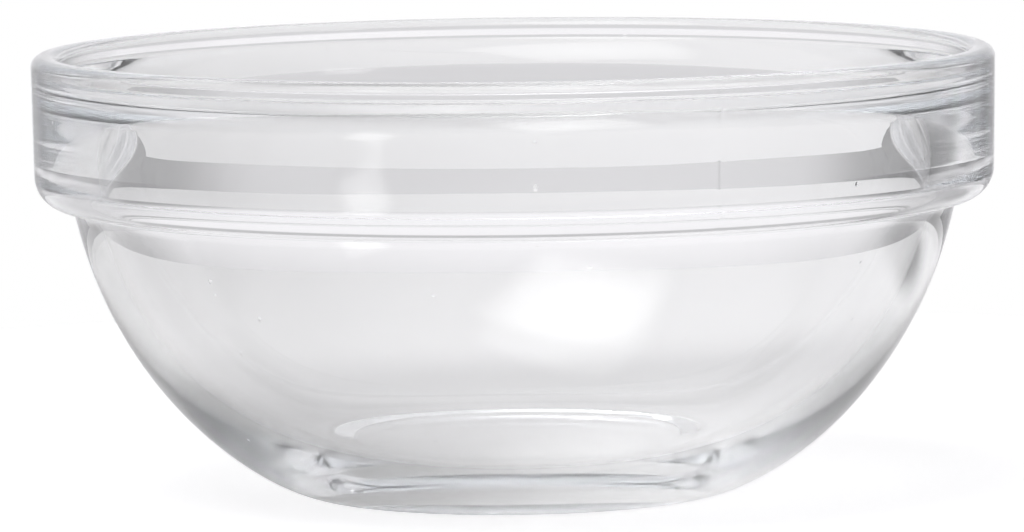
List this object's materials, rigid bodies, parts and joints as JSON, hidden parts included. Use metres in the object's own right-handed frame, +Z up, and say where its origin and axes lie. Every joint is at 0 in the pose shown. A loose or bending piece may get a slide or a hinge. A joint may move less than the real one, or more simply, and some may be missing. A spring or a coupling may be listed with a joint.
{
  "type": "salad bowl",
  "caption": "Round stacking salad bowl of clear pressed glass with a wide upright collar, an inner shoulder below the rim and a flat foot.",
  "frame": {"origin": "centre of the foot, on the table", "axes": "+Z up along the bowl's axis towards the mouth, +X and +Y level"},
  "size_m": [0.1999, 0.2, 0.0925],
  "materials": {
    "clear_glass": "fire-polished, clear, faint blue-green in thick sections"
  },
  "bodies": {
    "root": {"bowl": "clear_glass"}
  },
  "joints": []
}
